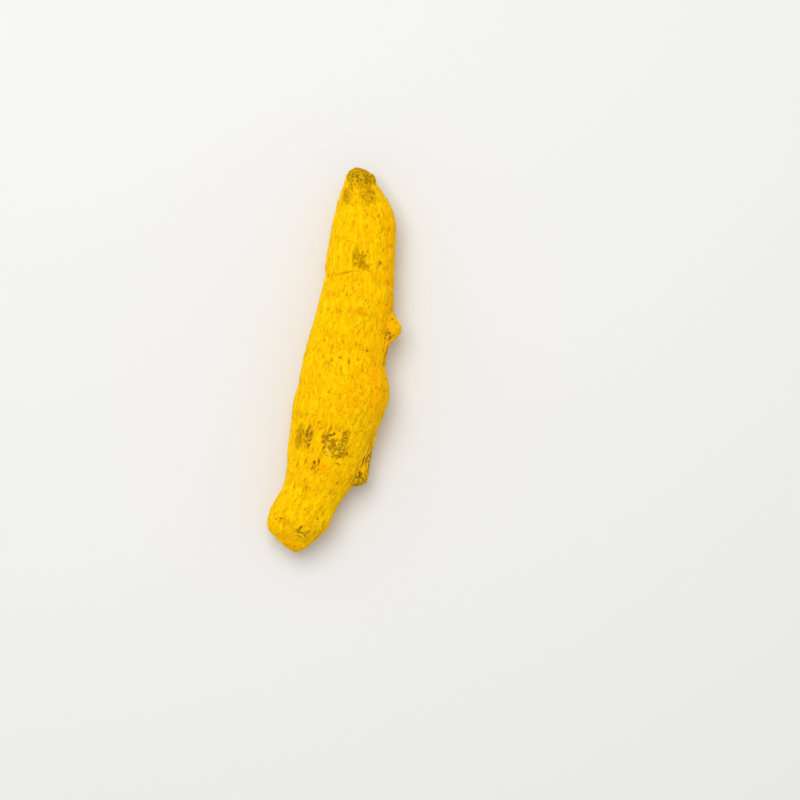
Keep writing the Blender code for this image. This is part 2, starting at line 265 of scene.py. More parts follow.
# Pale marks: raised crumbs, lips and ends of fibres.
PALE_MARKS = (
    (0.026, 73, 0.25, 0.25, 0.60), (0.046, 73, 0.20, 0.25, 0.50), (0.194, -2, 0.15, 0.40, 0.70),
    (0.236, 15, 0.35, 0.15, 0.50), (0.251, 12, 0.75, 0.15, 0.50), (0.283, 7, 0.65, 0.15, 0.60),
    (0.261, 73, 0.20, 0.20, 0.60), (0.268, 86, 0.50, 0.25, 1.00), (0.273, 79, 0.25, 0.25, 0.60),
    (0.280, 68, 0.30, 0.25, 0.70), (0.279, 84, 0.15, 0.25, 0.70), (0.282, 92, 0.40, 0.25, 0.50),
    (0.290, 77, 0.30, 0.30, 0.70), (0.305, 92, 0.20, 0.35, 0.50), (0.312, 69, 0.55, 0.25, 0.50),
    (0.283, 118, 0.20, 0.35, 1.00), (0.297, 120, 0.15, 0.20, 0.50), (0.306, 122, 0.50, 0.20, 1.00),
    (0.305, 130, 0.20, 0.20, 0.60), (0.320, 128, 0.40, 0.20, 0.80), (0.562, 21, 1.10, 0.28, 1.00),
    (0.577, 10, 0.60, 0.25, 0.90), (0.580, 22, 0.90, 0.28, 1.00), (0.594, 12, 0.15, 0.40, 0.60),
    (0.592, 17, 0.50, 0.25, 1.00), (0.542, 182, 2.10, 0.20, 0.50), (0.923, 76, 0.15, 0.15, 0.60),
    (0.935, 135, 0.15, 0.35, 0.50), (0.960, 95, 0.90, 0.15, 0.55), (0.964, 72, 0.15, 0.25, 0.60),
    (0.965, 156, 0.85, 0.20, 0.80), (0.978, 0, 0.85, 0.20, 0.50), (0.977, 86, 0.15, 0.55, 0.40),
    (0.994, 162, 0.20, 0.30, 0.70),
)
PALE_MARK_HEIGHT = 0.09 * MM

# Patches where old olive skin is left, where dry flesh shows as crumbs, and where the gold turns to orange.
# The strong olive on the stub's blunt end and the long orange patches on the side towards +X are partly painted shade.
OLIVE_PATCHES = (
    (0.057, 72, 0.40, 0.40, 0.40), (0.062, 39, 0.85, 0.65, 0.40), (0.190, 12, 0.30, 0.40, 0.60),
    # The strong olive patch at share 0.206 and angle 2 is partly the skin's olive and partly painted shade on the
    # stub's blunt end.
    (0.200, 11, 0.55, 0.85, 0.80), (0.200, 32, 0.85, 1.05, 0.50), (0.206, 2, 1.40, 2.40, 1.40),
    (0.232, 7, 1.05, 0.40, 0.70), (0.262, 0, 3.40, 1.30, 0.80), (0.268, 83, 0.85, 0.85, 0.50), (0.280, 59, 1.25, 0.65, 0.70),
    (0.290, 72, 0.65, 0.85, 0.80), (0.299, 96, 1.25, 0.75, 0.60), (0.309, 68, 2.10, 0.75, 1.00),
    (0.293, 137, 2.50, 1.35, 1.20), (0.297, 121, 2.40, 0.80, 1.00), (0.318, 135, 0.85, 0.40, 0.80), (0.765, 89, 1.70, 1.00, 1.10), (0.749, 80, 0.80, 1.00, 0.80),
    (0.772, 98, 1.90, 0.85, 1.00), (0.928, 92, 1.20, 0.90, 0.80), (0.933, 69, 0.85, 0.65, 0.70),
    (0.920, 138, 1.60, 1.60, 1.05), (0.938, 80, 2.40, 1.80, 1.10), (0.946, 128, 1.20, 1.40, 0.65),
    (0.630, 262, 2.40, 2.10, 0.90), (0.205, 300, 2.10, 1.70, 0.90), (0.510, 176, 1.70, 0.90, 0.75),
    (0.398, 232, 1.30, 1.30, 0.80), (0.534, 14, 2.40, 0.80, 0.80),
)
CRUMB_PATCHES = (
    (0.053, 75, 1.45, 1.70, 0.60), (0.199, 6, 0.65, 1.25, 0.65), (0.220, 16, 1.30, 0.80, 0.75),
    (0.268, 3, 2.60, 1.10, 0.75), (0.273, 70, 1.45, 1.25, 0.80), (0.279, 83, 1.90, 1.70, 1.00),
    (0.299, 67, 2.50, 0.85, 0.60), (0.297, 121, 2.50, 0.90, 1.00), (0.305, 95, 1.25, 1.05, 0.70),
    (0.585, 20, 1.00, 1.00, 0.82), (0.942, 83, 1.90, 1.25, 0.40), (0.976, 96, 1.45, 2.50, 0.49),
    (0.630, 262, 2.20, 1.90, 0.95), (0.205, 300, 1.90, 1.50, 0.95), (0.398, 232, 1.20, 1.20, 0.90),
)
ORANGE_PATCHES = (
    (0.014, 104, 0.80, 2.00, 0.85), (0.031, 111, 1.60, 1.60, 0.80), (0.205, 65, 2.10, 1.25, 0.40),
    (0.220, 33, 1.70, 1.25, 0.50), (0.221, 77, 0.65, 1.25, 0.60), (0.226, 91, 0.85, 1.05, 1.00),
    (0.394, 39, 3.80, 1.25, 0.60), (0.560, 33, 2.10, 1.05, 0.50), (0.649, 50, 2.10, 1.25, 0.60),
    (0.740, 33, 3.80, 1.05, 0.80), (0.849, 38, 4.60, 1.05, 0.70), (0.893, 77, 1.70, 1.70, 0.40),
    # The long patches at angles 26 and 36 are partly the skin's orange and partly painted shade on the side towards +X,
    # which the light reaches less.
    (0.440, 250, 7.00, 3.00, 0.60), (0.760, 250, 6.00, 2.60, 0.60), (0.620, 26, 26.00, 3.00, 0.60),
    (0.455, 36, 8.00, 3.20, 0.80),
)

# The cap at the growing tip: where its rim is, how that waves round the root, and the ridge and groove there.
CAP_SHARE = 0.963
CAP_SADDLE = 0.50 * MM  # the rim is nearer the tip at the sides than on top
CAP_WAVE = 0.40 * MM
CAP_WAVE_FROM = 85
CAP_SOFTNESS = 1.30 * MM
CAP_RIDGE_HEIGHT = 0.06 * MM
CAP_RIDGE_WIDTH = 0.30 * MM
CAP_GROOVE_DEPTH = 0.06 * MM
CAP_GROOVE_OFFSET = -0.75 * MM  # from the rim, towards the foot

# Fine relief of the skin.
FLECK_DEPTH = 0.060 * MM
FINE_WRINKLE_HEIGHT = 0.090 * MM
SIDE_WRINKLE_HEIGHT = 0.160 * MM  # added to it on the sides and underneath
OLIVE_DEPTH = 0.080 * MM  # the gold skin has flaked off there
MEAN_FURROW = 0.35  # the side wrinkles go up and down from here
WRINKLED_FROM = 70  # degrees from the top, where half of that is added
POWDER_HEIGHT = 0.040 * MM
CRUMB_HEIGHT = 0.26 * MM
FURROW_VALUES = {"Width": 1.3 * MM, "Stretch": 3.5, "Thinness": 0.07}
CAP_FOLD_VALUES = {"Width": 1.3 * MM, "Stretch": 1.2, "Thinness": 0.07}
CAP_FOLD_HEIGHT = 0.10 * MM
CRUMB_SIZE = 0.60 * MM
OLIVE_SPECK_SIZE = 0.38 * MM
STREAK_SIZE = 0.80 * MM
STREAK_STRETCH = 2.6
STREAK_HEIGHT = 0.18 * MM
FLAKE_HEIGHT = 0.10 * MM

# Flecks, coarse and fine: size, stretch along the root and the level of the noise past which a fleck starts.
BROAD_FLECKS = (0.85 * MM, 2.3, 0.650)
COARSE_FLECKS = (0.52 * MM, 2.3, 0.650)
FINE_FLECKS = (0.36 * MM, 1.7, 0.645)
FLECK_SOFTNESS = 0.09
FLECK_CROWDING = 0.26  # how much more of them there are in one place than in another
RING_GATHER = 0.03  # how much more of them there are along a ring
CROWD_SIZE = 6.0 * MM
CROWD_STRETCH = 0.45  # less than 1, so that flecks stand in rows across the root

# How each mask's edge is torn: size of the noise, raggedness and softness.
OLIVE_TEAR = (0.60 * MM, 1.3, 0.26)
CAP_TEAR = (0.70 * MM, 1.5, 0.34)
CRUMB_TEAR = (0.70 * MM, 1.2, 0.18)
ORANGE_TEAR = (1.20 * MM, 1.0, 0.36)
DARK_TEAR = (0.40 * MM, 0.8, 0.48)
PALE_TEAR = (0.40 * MM, 0.6, 0.22)

# Colours, as the eye sees them on a screen.
GOLD = (249, 206, 2)
DEEP_GOLD = (247, 192, 2)
LEMON = (253, 213, 8)
AMBER = (233, 175, 2)
PALE_GOLD = (255, 220, 24)
CRUMB_PALE = (250, 210, 40)
ORANGE = (252, 174, 2)
OLIVE = (211, 168, 5)
DEEP_OLIVE = (152, 112, 4)
CAP_PALE = (210, 167, 10)
CAP_BROWN = (128, 92, 4)
CRUMB_SHADE = (132, 92, 4)
FLECK_OLIVE = (190, 140, 0)
FLECK_RED = (200, 120, 0)
MARK_BROWN_AND_SHADE = (184, 120, 2)
PIT_BROWN_AND_SHADE = (96, 36, 4)
FLOOR_WHITE = (231, 231, 229)

# The camera looks straight down, turned so that the root leans as it does when seen from the bowl's front.
CAMERA_TURN = math.radians(9.765)
CAMERA_CENTRE = (12.77 * MM, -5.76 * MM)
CAMERA_HEIGHT = 800 * MM
VIEW_SIDE = 168 * MM
MIDDLE_HEIGHT = 8 * MM
SENSOR_WIDTH = 36


def linear(colour):
    """A screen colour, 0 to 255, as the linear colour that shaders use."""
    parts = [part / 255 for part in colour]
    parts = [part / 12.92 if part <= 0.04045 else ((part + 0.055) / 1.055) ** 2.4 for part in parts]
    return (*parts, 1.0)


def station_curve(samples):
    """The stations joined by one smooth curve: an array of a row for each sample, and its arc length.

    The curve crosses the axis squarely at both ends, so that the foot and the tip close round.
    """
    scale = (ROOT_LENGTH, ROOT_WIDTH, ROOT_WIDTH, ROOT_DEPTH, ROOT_DEPTH)
    rows = np.array(STATIONS) * scale
    rows[:, 1] += SIDE_SHIFT
    mirrored = np.array((1, 1, -1, -1, 1))
    rows = np.vstack((rows[1] * mirrored, rows, rows[-2] * mirrored))
    steps = np.hypot(np.diff(rows[:, 0]), np.diff(rows[:, 2]))
    knots = np.concatenate(((0.0,), np.cumsum(steps)))
    slopes = (rows[2:] - rows[:-2]) / (knots[2:] - knots[:-2])[:, None]
    knots, rows = knots[1:-1], rows[1:-1]
    places = np.linspace(knots[0], knots[-1], samples)
    left = np.clip(np.searchsorted(knots, places, side="right") - 1, 0, len(knots) - 2)
    gap = (knots[left + 1] - knots[left])[:, None]
    t = (places - knots[left])[:, None] / gap
    curve = (
        (2 * t**3 - 3 * t**2 + 1) * rows[left]
        + (t**3 - 2 * t**2 + t) * gap * slopes[left]
        + (3 * t**2 - 2 * t**3) * rows[left + 1]
        + (t**3 - t**2) * gap * slopes[left + 1]
    )
    curve[0], curve[-1] = rows[0], rows[-1]
    return curve, places - places[0]


def surface_normals(points):
    """Outward unit normals of the grid of points, which closes on itself along its second axis."""
    up_the_root = np.gradient(points, axis=0)
    round_it = np.roll(points, -1, axis=1) - np.roll(points, 1, axis=1)
    normals = np.cross(up_the_root, round_it)
    normals[0] = (0, -1, 0)
    normals[-1] = (0, 1, 0)
    return normals / np.linalg.norm(normals, axis=2, keepdims=True)


def angle_from(angles, degrees):
    """How far each angle is from a direction, in radians from -pi to pi."""
    return (angles - math.radians(degrees) + math.pi) % (2 * math.pi) - math.pi


class Lattice:
    """The smooth root as a grid of points, foot to tip by round, and where each point is on it.

    grain is each point's place in the root straightened out, which no seam or pole breaks. The skin's
    patterns are read from it, so that they run along the root and bend with it.
    """

    def __init__(self, sections, points_round):
        curve, arc = station_curve(sections + 1)
        angles = np.linspace(0, 2 * math.pi, points_round, endpoint=False)[None, :]
        along, side, half_width, half_depth, centre_height = curve.T[:, :, None]
        cos, sin = np.cos(angles), np.sin(angles)
        self.smooth = np.stack(
            (
                side + half_width * cos,
                along - ROOT_LENGTH / 2 + 0 * cos,
                centre_height + half_depth * sin,
            ),
            axis=2,
        )
        self.radius = (half_width + half_depth) / 2
        self.grain = np.stack((self.radius * cos, self.radius * sin, arc[:, None] + 0 * cos), axis=2)
        self.along = along + 0 * angles
        self.angles = angles + 0 * along
        self.wander = np.array([noise.noise(Vector(place) / CREASE_WANDER_SIZE) for place in self.grain.reshape(-1, 3)])
        self.wander = self.wander.reshape(self.along.shape)

    def ahead_and_aside(self, share, degrees):
        """How far each point is from a place, towards the tip and round the root."""
        ahead = self.along - share * ROOT_LENGTH
        aside = self.radius * angle_from(self.angles, degrees)
        return ahead, aside

    def mound(self, share, degrees, to_tip, to_foot, to_side):
        """A smooth hill of height 1 that reaches the given lengths from its middle."""
        ahead, aside = self.ahead_and_aside(share, degrees)
        reach = np.where(ahead > 0, to_tip, to_foot)
        return np.clip(1 - (ahead / reach) ** 2 - (aside / to_side) ** 2, 0, 1) ** 2

    def patch(self, share, degrees, half_length, half_width):
        """1 in the middle of a patch, a half at its edge, and 0 outside."""
        ahead, aside = self.ahead_and_aside(share, degrees)
        return np.clip(1 - ((ahead / half_length) ** 2 + (aside / half_width) ** 2) / 2, 0, 1)

    def spot(self, share, degrees, half_length, half_width):
        """A soft spot: 1 in its middle, a half at its edge, and soon 0 outside."""
        ahead, aside = self.ahead_and_aside(share, degrees)
        away = (ahead / half_length) ** 2 + (aside / half_width) ** 2
        return 2.0 ** -(away**1.5)

    def blot(self, share, degrees, half_length, half_width):
        """A spot that has spread a little."""
        return self.spot(share, degrees, half_length + BLOT_SPREAD, half_width + BLOT_SPREAD)

    def distance_from(self, path):
        """How far each point is from a path of places (share, angle), to one side of it or the other.

        Also how strong the path is there: it tapers to nothing at both ends.
        """
        nearest = np.full(self.along.shape, np.inf)
        side = np.ones(self.along.shape)
        taper = np.zeros(self.along.shape)
        legs = len(path) - 1
        for leg, ((share, degrees), (next_share, next_degrees)) in enumerate(zip(path, path[1:])):
            ahead, aside = self.ahead_and_aside(share, degrees)
            run_ahead = (next_share - share) * ROOT_LENGTH
            run_aside = self.radius * math.radians(next_degrees - degrees)
            run_squared = run_ahead**2 + run_aside**2
            t = np.clip((ahead * run_ahead + aside * run_aside) / run_squared, 0, 1)
            away = np.hypot(ahead - t * run_ahead, aside - t * run_aside)
            turn = np.where(ahead * run_aside > aside * run_ahead, 1, -1)
            side = np.where(away < nearest, turn, side)
            taper = np.where(away < nearest, np.sin(math.pi * (leg + t) / legs), taper)
            nearest = np.minimum(nearest, away)
        return nearest * side, np.sqrt(np.clip(taper, 0, 1))


def ring_places(lattice):
    """For each leaf scar: its depth, how strong it is round the root, and how far each point is from it."""
    for share, depth, lean, leans_to in RINGS:
        wander = lean * np.cos(angle_from(lattice.angles, leans_to)) / 2
        wander += lean * RING_RIPPLE * np.sin(3 * lattice.angles + leans_to)
        fade = 1 - RING_FADE * (1 - np.sin(2 * lattice.angles + leans_to))
        yield depth, fade, lattice.along - share * ROOT_LENGTH - wander


def ring_relief(lattice):
    """Each leaf scar is a groove with a low ridge on its tip side, and it wanders a little round the root."""
    height = np.zeros(lattice.along.shape)
    for depth, fade, away in ring_places(lattice):
        away = away / RING_GROOVE_WIDTH
        ridge = RING_RIDGE_HEIGHT * np.exp(-((away - RING_RIDGE_OFFSET) ** 2))
        height += depth * fade * (ridge - np.exp(-(away**2)))
    return height


def stub_relief(lattice):
    """The broken side shoot: its back rises from nothing to a blunt end that faces the foot."""
    start = STUB_START_SHARE * ROOT_LENGTH
    end = STUB_END_SHARE * ROOT_LENGTH
    rise = np.clip((start - lattice.along) / (start - end), 0, 1)
    blunt = np.clip((lattice.along - end) / STUB_BLUNT_LENGTH + 0.5, 0, 1)
    blunt = blunt * blunt * (3 - 2 * blunt)
    half_width = STUB_HALF_WIDTH * (STUB_START_WIDTH + (1 - STUB_START_WIDTH) * rise)
    aside = np.clip(np.abs(lattice.radius * angle_from(lattice.angles, STUB_ANGLE)) / half_width, 0, 1)
    flatness, steepness = STUB_CROWN_POWERS
    crown = (1 - aside**flatness) ** steepness
    return STUB_HEIGHT * rise**STUB_RISE_POWER * blunt * crown


def flesh_relief(grain):
    """Broad lumps, and wrinkles that run along the root."""
    height = np.zeros(grain.shape[:2])
    stretch = Vector((1, 1, 1 / WRINKLE_STRETCH))
    for place in np.ndindex(height.shape):
        point = Vector(grain[place])
        lump = noise.noise(point / LUMP_SIZE + NOISE_OFFSET)
        wrinkle = noise.fractal(point * stretch / WRINKLE_WIDTH + NOISE_OFFSET, 1.0, 2.0, 2)
        height[place] = LUMP_HEIGHT * lump + WRINKLE_HEIGHT * wrinkle
    return height


def crease_places(lattice):
    """For each crease: its depth, how far it darkens, how strong it is, and how far each point is from it."""
    for path, depth, width, darkness in CREASES:
        away, taper = lattice.distance_from(path)
        yield depth, darkness, taper, (away + CREASE_WANDER * lattice.wander) / width


def crease_relief(lattice):
    """Creases, each with a raised lip on one side."""
    height = np.zeros(lattice.along.shape)
    for depth, darkness, taper, away in crease_places(lattice):
        lip = CREASE_LIP_HEIGHT * np.exp(-((away - CREASE_LIP_OFFSET) ** 2))
        height += depth * taper * (lip - np.exp(-(away**2)))
    return height


def past_the_cap_rim(lattice):
    """How far each point is from the rim of the cap, towards the tip."""
    saddle = CAP_SADDLE * np.cos(2 * lattice.angles)
    wave = CAP_WAVE * np.cos(4 * angle_from(lattice.angles, CAP_WAVE_FROM))
    return lattice.along - CAP_SHARE * ROOT_LENGTH - saddle - wave


def cap_mask(lattice):
    """1 on the cap at the growing tip, and 0 on the rest."""
    rise = np.clip(past_the_cap_rim(lattice) / CAP_SOFTNESS + 0.5, 0, 1)
    return rise * rise * (3 - 2 * rise)


def cap_relief(lattice):
    """The ridge along the rim of the cap, and the groove below it."""
    away = past_the_cap_rim(lattice)
    ridge = CAP_RIDGE_HEIGHT * np.exp(-((away / CAP_RIDGE_WIDTH) ** 2))
    groove = CAP_GROOVE_DEPTH * np.exp(-(((away - CAP_GROOVE_OFFSET) / CAP_RIDGE_WIDTH) ** 2))
    return ridge - groove


def hidden_marks():
    """Dark marks at random places on the sides that the photo doesn't show."""
    draw = np.random.default_rng(MARKS_SEED)
    lowest = (0.03, HIDDEN_FROM, 0.20, 0.15, 0.35)
    highest = (0.95, HIDDEN_TO, 0.70, 0.30, 0.80)
    return draw.uniform(lowest, highest, (HIDDEN_MARKS, len(lowest)))


def strongest(lattice, shape, rows):
    """The strongest of the marks or patches at each point."""
    most = np.zeros(lattice.along.shape)
    for share, degrees, half_length, half_width, strength in rows:
        most = np.maximum(most, strength * shape(share, degrees, half_length * MM, half_width * MM))
    return most


def ring_mask(lattice, reach):
    """1 along each leaf scar, where the skin is darker and more flecks gather."""
    mask = np.zeros(lattice.along.shape)
    for depth, fade, away in ring_places(lattice):
        away = away + CREASE_WANDER * lattice.wander
        mask = np.maximum(mask, fade * np.exp(-((away / reach) ** 2)))
    return mask


def side_mask(lattice):
    """0 on top of the root and 1 on its sides and underneath, where the flesh is more wrinkled."""
    from_top = np.abs(angle_from(lattice.angles, 90)) / math.radians(WRINKLED_FROM)
    return np.clip(from_top - 0.5, 0, 1)


def crease_masks(lattice):
    """How far the creases darken the skin, which is partly painted shade in the groove, and how far their lips lighten
    it.
    """
    dark = np.zeros(lattice.along.shape)
    pale = np.zeros(lattice.along.shape)
    for depth, darkness, taper, away in crease_places(lattice):
        dark = np.maximum(dark, darkness * taper * np.exp(-(away**2)))
        pale = np.maximum(pale, darkness * taper * np.exp(-((away - CREASE_LIP_OFFSET) ** 2)))
    return dark, pale


def skin_masks(lattice):
    """What the skin's form, fine relief and material read at each point, by name."""
    cap = cap_mask(lattice)
    crease_dark, crease_pale = crease_masks(lattice)
    marks = strongest(lattice, lattice.blot, (*DARK_MARKS, *hidden_marks()))
    ring_lines = RING_LINE_DARKNESS * ring_mask(lattice, RING_LINE_WIDTH)
    crumb_ends = strongest(lattice, lattice.spot, PALE_MARKS)
    return {
        "olive": strongest(lattice, lattice.patch, OLIVE_PATCHES),
        "crumbs": strongest(lattice, lattice.patch, CRUMB_PATCHES),
        "orange": strongest(lattice, lattice.patch, ORANGE_PATCHES),
        "cap": cap,
        "ring": ring_mask(lattice, RING_REACH),
        "side": side_mask(lattice),
        "dark": np.maximum(np.maximum(marks, crease_dark), ring_lines),
        "pale": np.maximum(crumb_ends, crease_pale),
    }


def skin_form(lattice, masks):
    """The skin's points: the solid's own shape, with the creases, marks and cap that it leaves out."""
    height = flesh_relief(lattice.grain)
    height += ring_relief(lattice) + stub_relief(lattice) + crease_relief(lattice) + cap_relief(lattice)
    height += PALE_MARK_HEIGHT * masks["pale"] - PIT_DEPTH * masks["dark"]
    for share, degrees, tall, to_tip, to_foot, to_side in BUDS:
        height += tall * lattice.mound(share, degrees, to_tip, to_foot, to_side)
    for share, degrees, depth, half_length, half_width in SKIN_DISHES:
        height -= depth * lattice.mound(share, degrees, half_length, half_length, half_width)
    height[0] = height[-1] = 0
    points = lattice.smooth + height[:, :, None] * surface_normals(lattice.smooth)
    points[:, :, 2] = np.maximum(points[:, :, 2], 0)
    return points


def skin_mesh():
    """One closed mesh: rings of quads, and a fan of triangles at each end."""
    lattice = Lattice(SECTIONS, POINTS_ROUND)
    masks = skin_masks(lattice)
    points = skin_form(lattice, masks)
    bm = bmesh.new()
    foot = bm.verts.new(points[0, 0])
    tip = bm.verts.new(points[-1, 0])
    rings = [[bm.verts.new(point) for point in ring] for ring in points[1:-1]]
    for here in range(POINTS_ROUND):
        following = (here + 1) % POINTS_ROUND
        bm.faces.new((foot, rings[0][here], rings[0][following]))
        bm.faces.new((tip, rings[-1][following], rings[-1][here]))
        for lower, upper in zip(rings, rings[1:]):
            bm.faces.new((lower[here], upper[here], upper[following], lower[following]))
    bmesh.ops.recalc_face_normals(bm, faces=bm.faces)
    mesh = bpy.data.meshes.new("turmeric_skin")
    bm.to_mesh(mesh)
    bm.free()
    mesh.shade_smooth()
    store(mesh, "grain", "FLOAT_VECTOR", in_mesh_order(lattice.grain))
    for name, mask in masks.items():
        store(mesh, name, "FLOAT", in_mesh_order(mask))
    return mesh


def in_mesh_order(values):
    """A grid's values in the order of the skin's vertices: the foot, the tip, then ring by ring."""
    rings = values[1:-1].reshape(-1, *values.shape[2:])
    return np.concatenate((values[0, :1], values[-1, :1], rings))


def store(mesh, name, kind, values):
    attribute = mesh.attributes.new(name, kind, "POINT")
    field = "vector" if kind == "FLOAT_VECTOR" else "value"
    attribute.data.foreach_set(field, np.ascontiguousarray(values, dtype=np.float32).ravel())


class Recipe:
    """Adds linked nodes to one tree, so that a pattern reads as formulas.

    A value may be a number, a vector, a colour or another node's output.
    """

    def __init__(self, tree):
        self.tree = tree
        self.shader = tree.bl_idname == "ShaderNodeTree"

    def plug(self, socket, value):
        if isinstance(value, bpy.types.NodeSocket):
            self.tree.links.new(value, socket)
        else:
            socket.default_value = value

    def add(self, kind, values, **settings):
        """A node of a kind. values go to its inputs, which are named or numbered."""
        node = self.tree.nodes.new(kind)
        for name, setting in settings.items():
            setattr(node, name, setting)
        for key, value in values.items():
            self.plug(node.inputs[key], value)
        return node

    def math(self, operation, *values):
        return self.add("ShaderNodeMath", dict(enumerate(values)), operation=operation).outputs[0]

    def vector(self, operation, *values):
        return self.add("ShaderNodeVectorMath", dict(enumerate(values)), operation=operation).outputs[0]

    def combine(self, x, y, z):
        return self.add("ShaderNodeCombineXYZ", {"X": x, "Y": y, "Z": z}).outputs[0]

    def separate(self, vector):
        return self.add("ShaderNodeSeparateXYZ", {"Vector": vector}).outputs

    def ramp(self, value, start, end, low=0.0, high=1.0):
        """Rises smoothly from low to high as the value goes from start to end."""
        values = {"Value": value, "From Min": start, "From Max": end, "To Min": low, "To Max": high}
        return self.add("ShaderNodeMapRange", values, interpolation_type="SMOOTHSTEP").outputs[0]

    def stretched(self, grain, size, stretch=1.0):
        """The grain in units of a size, drawn out along the root."""
        return self.vector("DIVIDE", grain, self.combine(size, size, self.math("MULTIPLY", size, stretch)))

    def noise(self, place, detail=2.0, roughness=0.5):
        values = {"Vector": place, "Scale": 1.0, "Detail": detail, "Roughness": roughness}
        return self.add("ShaderNodeTexNoise", values, noise_dimensions="3D")

    def cells(self, place):
        return self.add("ShaderNodeTexVoronoi", {"Vector": place, "Scale": 1.0}, feature="F1")

    def blend(self, factor, under, over):
        """The colour under, covered by the colour over as far as the factor says."""
        values = {"Factor": factor, 6: under, 7: over}
        return self.add("ShaderNodeMix", values, data_type="RGBA").outputs[2]

    def attribute(self, name, vector=False):
        """A mask or place that the mesh holds."""
        if self.shader:
            node = self.add("ShaderNodeAttribute", {}, attribute_name=name)
            return node.outputs["Vector" if vector else "Fac"]
        kind = "FLOAT_VECTOR" if vector else "FLOAT"
        return self.add("GeometryNodeInputNamedAttribute", {"Name": name}, data_type=kind).outputs[0]

    def group(self, pattern, values):
        """One of this object's own patterns, with its values by name."""
        kind = "ShaderNodeGroup" if self.shader else "GeometryNodeGroup"
        node = self.tree.nodes.new(kind)
        node.node_tree = pattern.tree(self.tree.bl_idname)
        for name, value in values.items():
            self.plug(node.inputs[name], value)
        return node.outputs


class Pattern:
    """A node group with named inputs and outputs, made once for shaders and once for geometry.

    The relief and the colour of a pattern come from the same nodes, so a fleck's colour is in its pit.
    """

    def __init__(self, name, inputs, outputs, formula):
        self.name, self.inputs, self.outputs, self.formula = name, inputs, outputs, formula
        self.trees = {}

    def tree(self, kind):
        if kind not in self.trees:
            self.trees[kind] = self.make(kind)
        return self.trees[kind]

    def make(self, kind):
        tree = bpy.data.node_groups.new(self.name, kind)
        for name, shape in self.inputs:
            tree.interface.new_socket(name, in_out="INPUT", socket_type="NodeSocket" + shape)
        for name, shape in self.outputs:
            tree.interface.new_socket(name, in_out="OUTPUT", socket_type="NodeSocket" + shape)
        inlet = tree.nodes.new("NodeGroupInput")
        outlet = tree.nodes.new("NodeGroupOutput")
        results = self.formula(Recipe(tree), *[inlet.outputs[name] for name, shape in self.inputs])
        for (name, shape), result in zip(self.outputs, results):
            tree.links.new(result, outlet.inputs[name])
        return tree


def fleck_formula(recipe, grain, size, stretch, level, gather):
    """Short dark dashes along the root, where a fine noise is high. They crowd together here and there."""
    waves = recipe.noise(recipe.stretched(grain, size, stretch), detail=2.0, roughness=0.5).outputs[0]
    crowd = recipe.noise(recipe.stretched(grain, CROWD_SIZE, CROWD_STRETCH), detail=1.0).outputs[0]
    crowd = recipe.math("MULTIPLY", recipe.math("SUBTRACT", crowd, 0.5), FLECK_CROWDING)
    waves = recipe.math("ADD", recipe.math("ADD", waves, crowd), gather)
    start = recipe.math("SUBTRACT", level, FLECK_SOFTNESS)
    full = recipe.math("ADD", level, FLECK_SOFTNESS)
    return (recipe.ramp(waves, start, full),)


def furrow_formula(recipe, grain, width, stretch, thinness):
    """A net of thin lines drawn out along the root: 1 on a line and 0 between them."""
    waves = recipe.noise(recipe.stretched(grain, width, stretch), detail=2.0, roughness=0.55).outputs[0]
    fold = recipe.math("ABSOLUTE", recipe.math("SUBTRACT", waves, 0.5))
    return (recipe.ramp(fold, thinness, 0.0),)


def crumb_formula(recipe, grain, size):
    """Rough crumbly flesh: a height from 0 to 1, and a tone of its own for each crumb."""
    place = recipe.stretched(grain, size)
    shake = recipe.noise(recipe.vector("MULTIPLY", place, (1.7, 1.7, 1.7))).outputs["Color"]
    cell = recipe.cells(recipe.vector("ADD", place, shake))
    tone = recipe.separate(cell.outputs["Color"])[0]
    dome = recipe.ramp(cell.outputs["Distance"], 0.75, 0.0)
    return recipe.math("MULTIPLY", dome, recipe.ramp(tone, 0.0, 1.0, 0.35, 1.0)), tone


def ragged_formula(recipe, mask, grain, size, raggedness, softness):
    """A mask torn by noise. It rises from 0 to 1 round a half, over twice the softness."""
    tear = recipe.noise(recipe.stretched(grain, size, 2.0), detail=3.0, roughness=0.6).outputs[0]
    tear = recipe.math("MULTIPLY", recipe.math("SUBTRACT", tear, 0.5), raggedness)
    start = recipe.math("SUBTRACT", 0.5, softness)
    full = recipe.math("ADD", 0.5, softness)
    return (recipe.ramp(recipe.math("ADD", mask, tear), start, full),)


def mottle_formula(recipe, grain, size, stretch, under, over):
    """Two colours in soft clouds, drawn out along the root."""
    clouds = recipe.noise(recipe.stretched(grain, size, stretch), detail=3.0, roughness=0.55).outputs[0]
    return (recipe.blend(recipe.ramp(clouds, 0.36, 0.64), under, over),)


def powder_formula(recipe, grain, size, height):
    """The fine dust on every surface: a tone from 0 to 1 and its relief."""
    dust = recipe.noise(recipe.stretched(grain, size), detail=3.0, roughness=0.7).outputs[0]
    return dust, recipe.math("MULTIPLY", dust, height)


GRAIN = ("Grain", "Vector")
FLECKS = Pattern(
    "Flecks",
    (GRAIN, ("Size", "Float"), ("Stretch", "Float"), ("Level", "Float"), ("Gather", "Float")),
    (("Fleck", "Float"),),
    fleck_formula,
)
FURROWS = Pattern(
    "Furrows",
    (GRAIN, ("Width", "Float"), ("Stretch", "Float"), ("Thinness", "Float")),
    (("Furrow", "Float"),),
    furrow_formula,
)
CRUMBS = Pattern("Crumbs", (GRAIN, ("Size", "Float")), (("Height", "Float"), ("Tone", "Float")), crumb_formula)
RAGGED = Pattern(
    "Ragged edge",
    (("Mask", "Float"), GRAIN, ("Size", "Float"), ("Raggedness", "Float"), ("Softness", "Float")),
    (("Mask", "Float"),),
    ragged_formula,
)
MOTTLE = Pattern(
    "Mottle",
    (GRAIN, ("Size", "Float"), ("Stretch", "Float"), ("Under", "Color"), ("Over", "Color")),
    (("Colour", "Color"),),
    mottle_formula,
)
